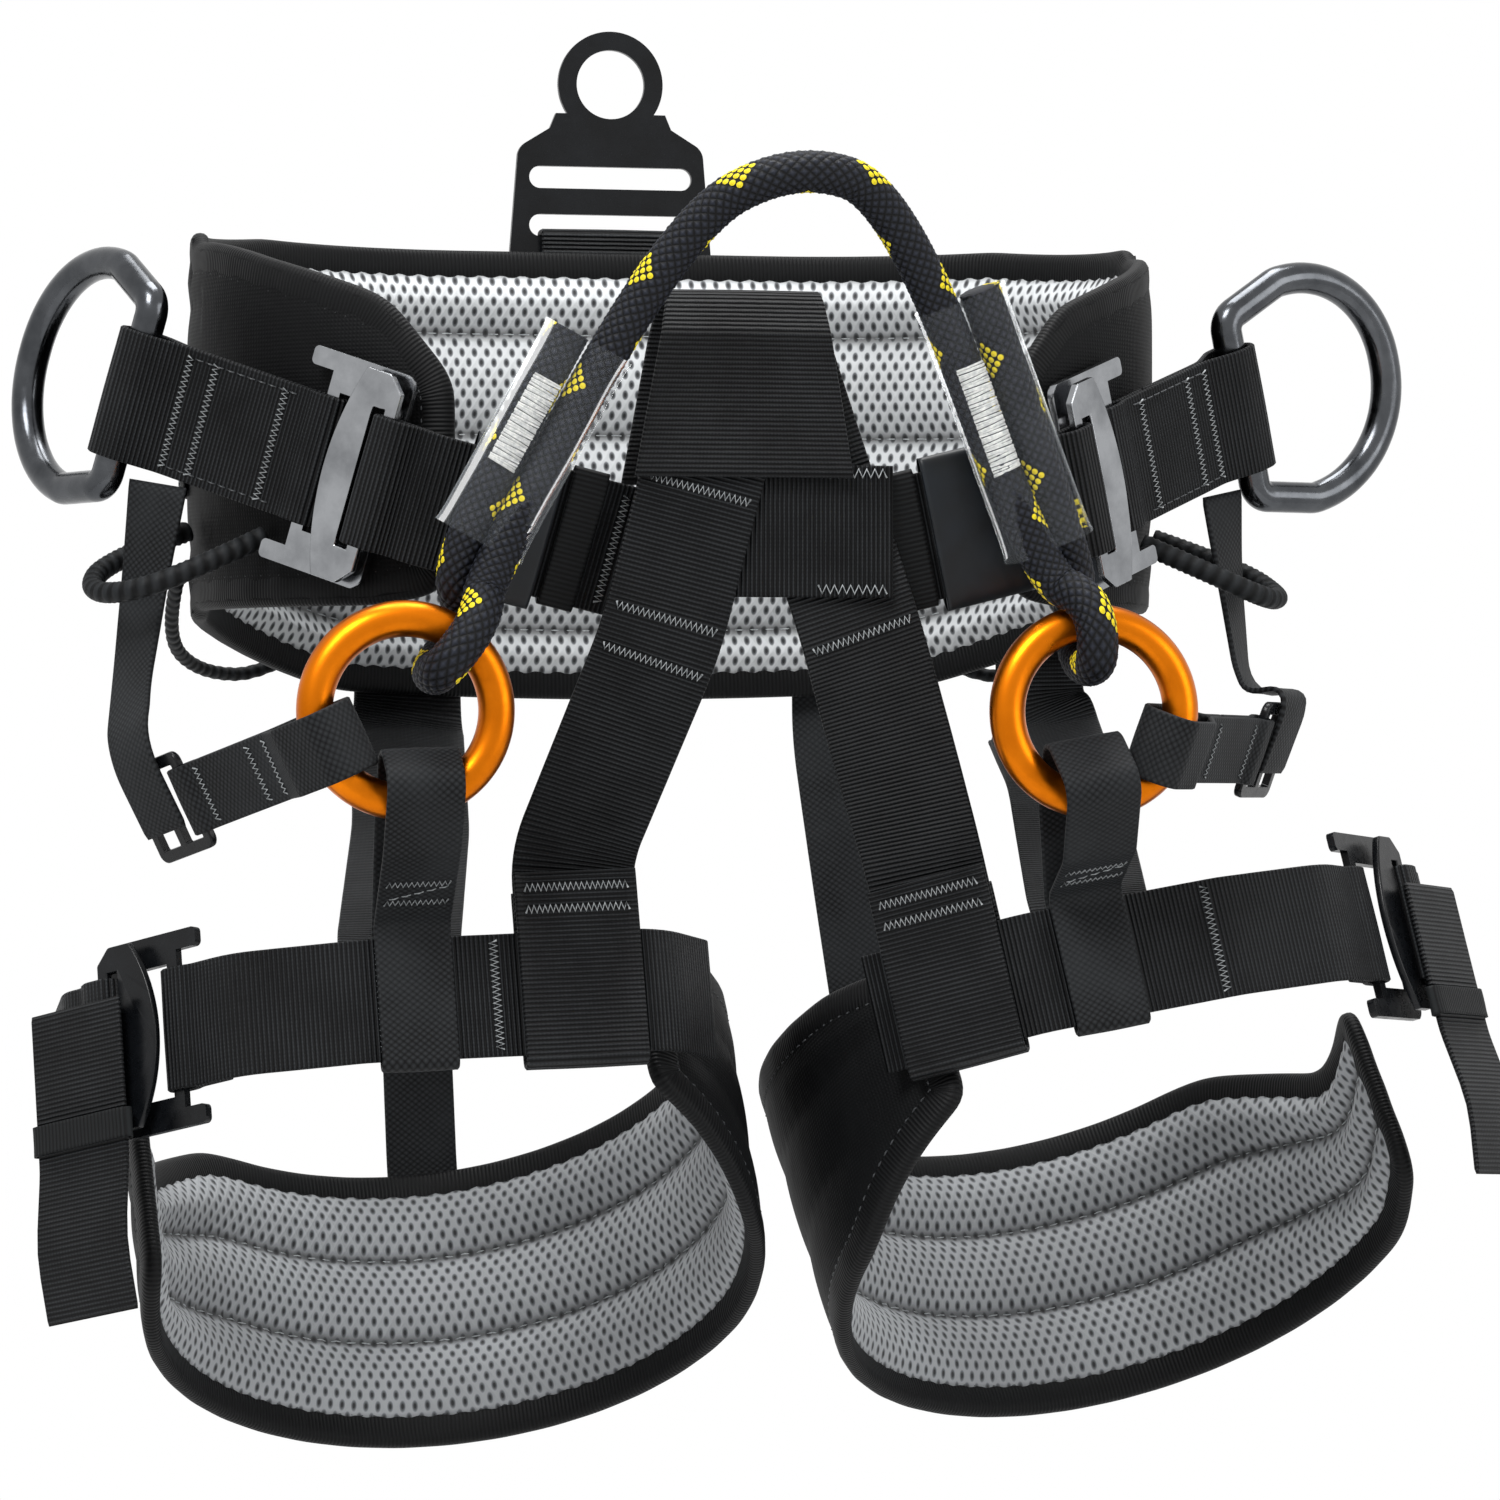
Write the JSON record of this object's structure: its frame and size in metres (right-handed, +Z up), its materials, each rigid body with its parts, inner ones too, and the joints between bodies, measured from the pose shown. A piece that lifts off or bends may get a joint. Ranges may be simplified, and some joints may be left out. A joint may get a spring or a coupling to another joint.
{
  "type": "tree climbing saddle",
  "caption": "Tree climbing saddle with padded waist belt and leg loops, side D-rings, rope bridge on swivel rings, two-part buckles and a rear attachment plate.",
  "frame": {"origin": "on the wearer's axis, in the middle of the waist opening, at the height of the middle of the waist pad", "axes": "+X to the right as seen from the front (the wearer's left), +Y to the wearer's back, +Z up along the wearer's body"},
  "size_m": [0.568, 0.3254, 0.5603],
  "materials": {
    "air_mesh": "open spacer mesh",
    "pad_cover": "woven nylon",
    "foam": "closed-cell foam",
    "plate_metal": "satin",
    "dee_metal": "satin forged",
    "ring_anodised": "orange anodised",
    "bright_steel": "polished",
    "black_steel": "black coated",
    "navy_sleeve": "smooth",
    "elastic_keeper": "ribbed elastic",
    "rope": "braided, with yellow tracers",
    "clear_tube": "clear shrink tube",
    "gear_cord": "cord over a stiff core",
    "plain_webbing": "plain weave",
    "webbing": "ribbed nylon webbing"
  },
  "bodies": {
    "harness": {"belt_keepers": "elastic_keeper", "belt_sleeve_l": "navy_sleeve", "belt_sleeve_r": "navy_sleeve", "bridge_rope": "rope", "centre_belt": "webbing", "drop_strap_l": "plain_webbing", "drop_strap_r": "plain_webbing", "front_belt_l": "webbing", "front_belt_r": "webbing", "front_gear_loop_l": "gear_cord", "front_gear_loop_r": "gear_cord", "leg_band_l": "webbing", "leg_band_r": "webbing", "leg_buckle_frame_l": "black_steel", "leg_buckle_frame_r": "black_steel", "leg_pad_l": "pad_cover", "leg_pad_lining_l": "air_mesh", "leg_pad_lining_r": "air_mesh", "leg_pad_r": "pad_cover", "leg_side_webbing_l": "webbing", "leg_side_webbing_r": "webbing", "leg_tail_keepers": "elastic_keeper", "leg_tail_l": "webbing", "leg_tail_r": "webbing", "narrow_riser_l": "plain_webbing", "narrow_riser_r": "plain_webbing", "rear_gear_loops": "gear_cord", "rear_plate_loop": "webbing", "ring_leg_strap_l": "plain_webbing", "ring_leg_strap_r": "plain_webbing", "ring_side_strap_l": "plain_webbing", "ring_side_strap_r": "plain_webbing", "rope_sleeve_l": "clear_tube", "rope_sleeve_r": "clear_tube", "side_loop_l": "webbing", "side_loop_r": "webbing", "ventral_loop": "webbing", "waist_buckle_frame_l": "bright_steel", "waist_buckle_frame_r": "bright_steel", "waist_pad_cover": "pad_cover", "waist_pad_foam": "foam", "waist_pad_lining": "air_mesh", "waist_webbing": "webbing", "wide_riser_l": "webbing", "wide_riser_r": "webbing", "yoke_foot_l": "webbing", "yoke_foot_r": "webbing", "yoke_strap_l": "webbing", "yoke_strap_r": "webbing"},
    "dee_l": {"side_dee_ring_l": "dee_metal"},
    "dee_r": {"side_dee_ring_r": "dee_metal"},
    "attachment_plate": {"rear_plate": "plate_metal"},
    "ring_l": {"bridge_ring_l": "ring_anodised"},
    "ring_r": {"bridge_ring_r": "ring_anodised"},
    "waist_tongue_l": {"waist_buckle_tongue_l": "bright_steel"},
    "waist_tongue_r": {"waist_buckle_tongue_r": "bright_steel"},
    "leg_tongue_l": {"leg_buckle_tongue_l": "black_steel"},
    "leg_tongue_r": {"leg_buckle_tongue_r": "black_steel"},
    "slide_l": {"slide_buckle_l": "black_steel"},
    "slide_r": {"slide_buckle_r": "black_steel"}
  },
  "joints": [
    {"name": "dee_l_swing", "type": "hinge", "parent": "harness", "child": "dee_l", "pos_m": [-0.213, -0.0455, 0.021], "axis": [-0.2435, 0.1902, -0.9511], "range_deg": [-85, 25]},
    {"name": "dee_r_swing", "type": "hinge", "parent": "harness", "child": "dee_r", "pos_m": [0.213, -0.0455, 0.021], "axis": [-0.2435, -0.1902, 0.9511], "range_deg": [-50, 60]},
    {"name": "plate_tilt", "type": "hinge", "parent": "harness", "child": "attachment_plate", "pos_m": [0, 0.1308, 0.091], "axis": [1, 0, 0], "range_deg": [-14, 14]},
    {"name": "ring_l_turn", "type": "hinge", "parent": "harness", "child": "ring_l", "pos_m": [-0.126, -0.15, -0.096], "axis": [0, 1, 0], "continuous": true},
    {"name": "waist_tongue_l_lift", "type": "hinge", "parent": "harness", "child": "waist_tongue_l", "pos_m": [-0.13306, -0.11697, -0.01376], "axis": [-0.2435, 0.1902, -0.9511], "range_deg": [-12, 0]},
    {"name": "leg_tongue_l_lift", "type": "hinge", "parent": "harness", "child": "leg_tongue_l", "pos_m": [-0.22324, -0.07128, -0.21606], "axis": [-0.0339, 0.2419, 0.9697], "range_deg": [-10, 0]},
    {"name": "slide_l_tilt", "type": "hinge", "parent": "harness", "child": "slide_l", "pos_m": [-0.19324, -0.07797, -0.12768], "axis": [-0.4154, 0.0165, 0.9095], "range_deg": [-5, 0]},
    {"name": "ring_r_turn", "type": "hinge", "parent": "harness", "child": "ring_r", "pos_m": [0.126, -0.15, -0.096], "axis": [0, 1, 0], "continuous": true},
    {"name": "waist_tongue_r_lift", "type": "hinge", "parent": "harness", "child": "waist_tongue_r", "pos_m": [0.13306, -0.11697, -0.01376], "axis": [-0.2435, -0.1902, 0.9511], "range_deg": [-12, 0]},
    {"name": "leg_tongue_r_lift", "type": "hinge", "parent": "harness", "child": "leg_tongue_r", "pos_m": [0.27303, -0.07128, -0.17644], "axis": [0.1685, -0.2419, -0.9556], "range_deg": [-10, 0]},
    {"name": "slide_r_tilt", "type": "hinge", "parent": "harness", "child": "slide_r", "pos_m": [0.20822, -0.07716, -0.10989], "axis": [-0.2791, 0.1927, -0.9407], "range_deg": [-5, 0]}
  ]
}
